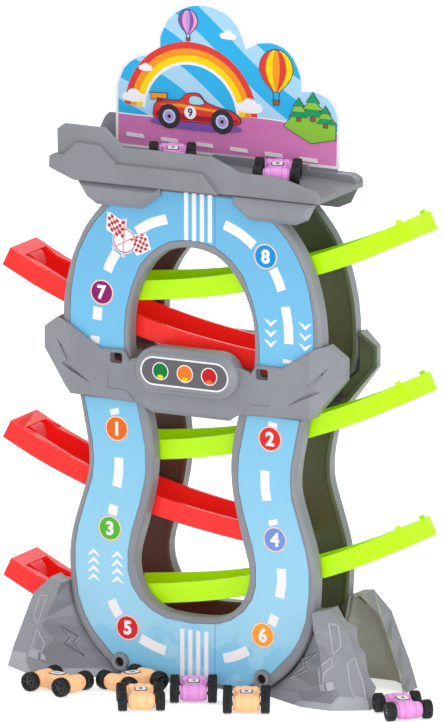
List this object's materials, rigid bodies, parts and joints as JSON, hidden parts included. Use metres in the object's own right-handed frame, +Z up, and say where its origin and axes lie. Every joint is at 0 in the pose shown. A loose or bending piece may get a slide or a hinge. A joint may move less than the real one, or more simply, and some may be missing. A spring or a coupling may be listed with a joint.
{
  "type": "toy ramp-racer tower with cars",
  "caption": "Toy car-park tower: figure-of-eight walls hold zig-zag sloping channels under a launch deck with a cloud-shaped board; little double-sided cars roll on it.",
  "frame": {"origin": "middle of the base of the whole set's box, cars included; the tower stands 19 mm left of it and 35 mm behind it", "axes": "+X to the right seen from the front, +Y to the back, +Z up"},
  "size_m": [0.3344, 0.1678, 0.4536],
  "materials": {
    "grey_shell": "moulded satin grey",
    "grey_deck": "moulded satin grey",
    "road_print": "printed glossy film",
    "lamp_print": "printed glossy film",
    "green_channel": "moulded glossy lime",
    "red_channel": "moulded glossy red",
    "board_print": "printed card with a white border",
    "orange_car": "moulded satin orange",
    "purple_car": "moulded satin purple",
    "car_wheel": "moulded black"
  },
  "bodies": {
    "tower": {"front_upper_ring": "grey_shell", "front_waist": "grey_shell", "front_lower_ring": "grey_shell", "front_foot_left": "grey_shell", "front_foot_right": "grey_shell", "front_bracket_left": "grey_shell", "front_bracket_right": "grey_shell", "front_upper_sticker_left": "road_print", "front_upper_sticker_right": "road_print", "front_lower_sticker_left": "road_print", "front_lower_sticker_right": "road_print", "front_lamp_label": "lamp_print", "back_upper_ring": "grey_shell", "back_waist": "grey_shell", "back_lower_ring": "grey_shell", "back_foot_left": "grey_shell", "back_foot_right": "grey_shell", "back_bracket_left": "grey_shell", "back_bracket_right": "grey_shell", "back_upper_sticker_left": "road_print", "back_upper_sticker_right": "road_print", "back_lower_sticker_left": "road_print", "back_lower_sticker_right": "road_print", "back_lamp_label": "lamp_print", "deck": "grey_deck", "green_track_top": "green_channel", "red_track_top": "red_channel", "green_track_mid": "green_channel", "red_track_mid": "red_channel", "green_track_low": "green_channel", "red_track_low": "red_channel"},
    "board": {"backdrop_board": "board_print"},
    "floor_car_1": {"floor_car_1_body": "orange_car"},
    "floor_car_1_front_wheels": {"floor_car_1_front_wheels": "car_wheel"},
    "floor_car_1_rear_wheels": {"floor_car_1_rear_wheels": "car_wheel"},
    "floor_car_2": {"floor_car_2_body": "orange_car"},
    "floor_car_2_front_wheels": {"floor_car_2_front_wheels": "car_wheel"},
    "floor_car_2_rear_wheels": {"floor_car_2_rear_wheels": "car_wheel"},
    "floor_car_3": {"floor_car_3_body": "orange_car"},
    "floor_car_3_front_wheels": {"floor_car_3_front_wheels": "car_wheel"},
    "floor_car_3_rear_wheels": {"floor_car_3_rear_wheels": "car_wheel"},
    "floor_car_4": {"floor_car_4_body": "purple_car"},
    "floor_car_4_front_wheels": {"floor_car_4_front_wheels": "car_wheel"},
    "floor_car_4_rear_wheels": {"floor_car_4_rear_wheels": "car_wheel"},
    "floor_car_5": {"floor_car_5_body": "orange_car"},
    "floor_car_5_front_wheels": {"floor_car_5_front_wheels": "car_wheel"},
    "floor_car_5_rear_wheels": {"floor_car_5_rear_wheels": "car_wheel"},
    "floor_car_6": {"floor_car_6_body": "purple_car"},
    "floor_car_6_front_wheels": {"floor_car_6_front_wheels": "car_wheel"},
    "floor_car_6_rear_wheels": {"floor_car_6_rear_wheels": "car_wheel"},
    "deck_car_1": {"deck_car_1_body": "purple_car"},
    "deck_car_1_front_wheels": {"deck_car_1_front_wheels": "car_wheel"},
    "deck_car_1_rear_wheels": {"deck_car_1_rear_wheels": "car_wheel"},
    "deck_car_2": {"deck_car_2_body": "purple_car"},
    "deck_car_2_front_wheels": {"deck_car_2_front_wheels": "car_wheel"},
    "deck_car_2_rear_wheels": {"deck_car_2_rear_wheels": "car_wheel"}
  },
  "joints": [
    {"name": "board_lift", "type": "slide", "parent": "tower", "child": "board", "axis": [0, 0, 1], "range_m": [0, 0.12]},
    {"name": "floor_car_1_roll", "type": "slide", "parent": "tower", "child": "floor_car_1", "axis": [0.9816, -0.1908, 0], "range_m": [-0.04, 0.002]},
    {"name": "floor_car_1_front_wheels_spin", "type": "hinge", "parent": "floor_car_1", "child": "floor_car_1_front_wheels", "pos_m": [-0.07997, -0.04904, 0.0065], "axis": [0.1908, 0.9816, 0], "continuous": true},
    {"name": "floor_car_1_rear_wheels_spin", "type": "hinge", "parent": "floor_car_1", "child": "floor_car_1_rear_wheels", "pos_m": [-0.10549, -0.04408, 0.0065], "axis": [0.1908, 0.9816, 0], "continuous": true},
    {"name": "floor_car_2_lift", "type": "slide", "parent": "tower", "child": "floor_car_2", "axis": [0, 0, 1], "range_m": [0, 0.06]},
    {"name": "floor_car_2_front_wheels_spin", "type": "hinge", "parent": "floor_car_2", "child": "floor_car_2_front_wheels", "pos_m": [-0.05491, -0.03328, 0.0065], "axis": [0.9171, -0.3987, 0], "continuous": true},
    {"name": "floor_car_2_rear_wheels_spin", "type": "hinge", "parent": "floor_car_2", "child": "floor_car_2_rear_wheels", "pos_m": [-0.04454, -0.00943, 0.0065], "axis": [0.9171, -0.3987, 0], "continuous": true},
    {"name": "floor_car_3_roll", "type": "slide", "parent": "tower", "child": "floor_car_3", "axis": [0.5, -0.866, 0], "range_m": [0, 0.04]},
    {"name": "floor_car_3_front_wheels_spin", "type": "hinge", "parent": "floor_car_3", "child": "floor_car_3_front_wheels", "pos_m": [-0.01683, -0.07081, 0.0065], "axis": [0.866, 0.5, 0], "continuous": true},
    {"name": "floor_car_3_rear_wheels_spin", "type": "hinge", "parent": "floor_car_3", "child": "floor_car_3_rear_wheels", "pos_m": [-0.02983, -0.0483, 0.0065], "axis": [0.866, 0.5, 0], "continuous": true},
    {"name": "floor_car_4_roll", "type": "slide", "parent": "tower", "child": "floor_car_4", "axis": [0.454, -0.891, 0], "range_m": [0, 0.04]},
    {"name": "floor_car_4_front_wheels_spin", "type": "hinge", "parent": "floor_car_4", "child": "floor_car_4_front_wheels", "pos_m": [0.00358, -0.03524, 0.0065], "axis": [0.891, 0.454, 0], "continuous": true},
    {"name": "floor_car_4_rear_wheels_spin", "type": "hinge", "parent": "floor_car_4", "child": "floor_car_4_rear_wheels", "pos_m": [-0.00823, -0.01207, 0.0065], "axis": [0.891, 0.454, 0], "continuous": true},
    {"name": "floor_car_5_roll", "type": "slide", "parent": "tower", "child": "floor_car_5", "axis": [0.454, -0.891, 0], "range_m": [-0.005, 0.04]},
    {"name": "floor_car_5_front_wheels_spin", "type": "hinge", "parent": "floor_car_5", "child": "floor_car_5_front_wheels", "pos_m": [0.04838, -0.04524, 0.0065], "axis": [0.891, 0.454, 0], "continuous": true},
    {"name": "floor_car_5_rear_wheels_spin", "type": "hinge", "parent": "floor_car_5", "child": "floor_car_5_rear_wheels", "pos_m": [0.03657, -0.02207, 0.0065], "axis": [0.891, 0.454, 0], "continuous": true},
    {"name": "floor_car_6_roll", "type": "slide", "parent": "tower", "child": "floor_car_6", "axis": [0.6947, -0.7193, 0], "range_m": [0, 0.04]},
    {"name": "floor_car_6_front_wheels_spin", "type": "hinge", "parent": "floor_car_6", "child": "floor_car_6_front_wheels", "pos_m": [0.1519, -0.01141, 0.0065], "axis": [0.7193, 0.6947, 0], "continuous": true},
    {"name": "floor_car_6_rear_wheels_spin", "type": "hinge", "parent": "floor_car_6", "child": "floor_car_6_rear_wheels", "pos_m": [0.13384, 0.0073, 0.0065], "axis": [0.7193, 0.6947, 0], "continuous": true},
    {"name": "deck_car_1_lift", "type": "slide", "parent": "tower", "child": "deck_car_1", "axis": [0, 0, 1], "range_m": [0, 0.06]},
    {"name": "deck_car_1_front_wheels_spin", "type": "hinge", "parent": "deck_car_1", "child": "deck_car_1_front_wheels", "pos_m": [-0.04133, 0.02147, 0.35407], "axis": [0.8823, 0.4695, -0.034], "continuous": true},
    {"name": "deck_car_1_rear_wheels_spin", "type": "hinge", "parent": "deck_car_1", "child": "deck_car_1_rear_wheels", "pos_m": [-0.05353, 0.04442, 0.35454], "axis": [0.8823, 0.4695, -0.034], "continuous": true},
    {"name": "deck_car_2_lift", "type": "slide", "parent": "tower", "child": "deck_car_2", "axis": [0, 0, 1], "range_m": [0, 0.06]},
    {"name": "deck_car_2_front_wheels_spin", "type": "hinge", "parent": "deck_car_2", "child": "deck_car_2_front_wheels", "pos_m": [0.03626, 0.02107, 0.35109], "axis": [0.9129, 0.4067, -0.0351], "continuous": true},
    {"name": "deck_car_2_rear_wheels_spin", "type": "hinge", "parent": "deck_car_2", "child": "deck_car_2_rear_wheels", "pos_m": [0.02569, 0.04482, 0.3515], "axis": [0.9129, 0.4067, -0.0351], "continuous": true}
  ]
}
